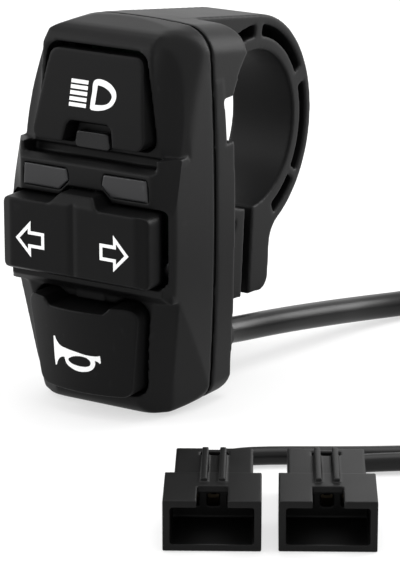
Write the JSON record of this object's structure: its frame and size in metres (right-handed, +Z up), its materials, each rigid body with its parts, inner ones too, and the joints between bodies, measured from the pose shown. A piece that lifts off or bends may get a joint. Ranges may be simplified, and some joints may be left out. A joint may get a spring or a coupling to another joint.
{
  "type": "handlebar switch cluster",
  "caption": "Black moulded handlebar switch cluster with headlamp button, turn-signal rocker and horn button, pinch clamp for a round bar, and a lead ending in paired connectors.",
  "frame": {"origin": "centre of the bar clamp's bore, halfway along the clamp strap", "axes": "+X along the handlebar, -Y the way the buttons face, +Z up through the headlamp button's end"},
  "size_m": [0.0919, 0.1181, 0.0527],
  "materials": {
    "housing": "fine spark texture",
    "button": "satin",
    "seal": "matte",
    "board": "satin",
    "lens": "smoked, half clear",
    "led": "clear",
    "switch_body": "matte",
    "stem": "satin",
    "steel": "zinc plated",
    "black_screw": "black oxide",
    "wire": "satin",
    "jacket": "satin",
    "tie": "matte",
    "connector": "satin",
    "contact": "plain"
  },
  "bodies": {
    "housing": {"front_cover": "housing", "rear_housing": "housing", "cover_gasket": "seal", "circuit_board": "board", "headlight_lens": "lens", "left_turn_lens": "lens", "right_turn_lens": "lens", "indicator_leds": "led", "headlight_switch": "switch_body", "turn_switch": "switch_body", "horn_switch": "switch_body", "rocker_pin": "steel", "case_screws": "steel", "clamp_screw": "black_screw", "clamp_nut": "steel", "cable_grommet": "seal", "lead_wires": "wire", "switch_cable": "jacket", "cable_coil": "jacket", "cable_end": "jacket", "coil_tie": "tie", "cable_split": "seal", "left_tail": "jacket", "right_tail": "jacket", "left_connector": "connector", "right_connector": "connector", "connector_contacts": "contact"},
    "headlight_button": {"headlight_button": "button", "headlight_stem": "stem"},
    "turn_rocker": {"turn_rocker": "button"},
    "turn_slider": {"turn_slider": "stem"},
    "horn_button": {"horn_button": "button", "horn_stem": "stem"}
  },
  "joints": [
    {"name": "headlight_press", "type": "slide", "parent": "housing", "child": "headlight_button", "axis": [0, 1, 0], "range_m": [0, 0.0012], "stiffness_N_per_m": 800, "springref_m": -0.002},
    {"name": "turn_rock", "type": "hinge", "parent": "housing", "child": "turn_rocker", "pos_m": [0, -0.0306, -0.00855], "axis": [0, 0, 1], "range_deg": [-6, 6]},
    {"name": "turn_slide", "type": "slide", "parent": "housing", "child": "turn_slider", "axis": [1, 0, 0], "range_m": [-0.00045, 0.00045]},
    {"name": "horn_press", "type": "slide", "parent": "housing", "child": "horn_button", "axis": [0, 1, 0], "range_m": [0, 0.0012], "stiffness_N_per_m": 800, "springref_m": -0.002}
  ],
  "couplings": [
    {"joint": "turn_slide", "follows": "turn_rock", "m_per_rad": -0.004}
  ]
}
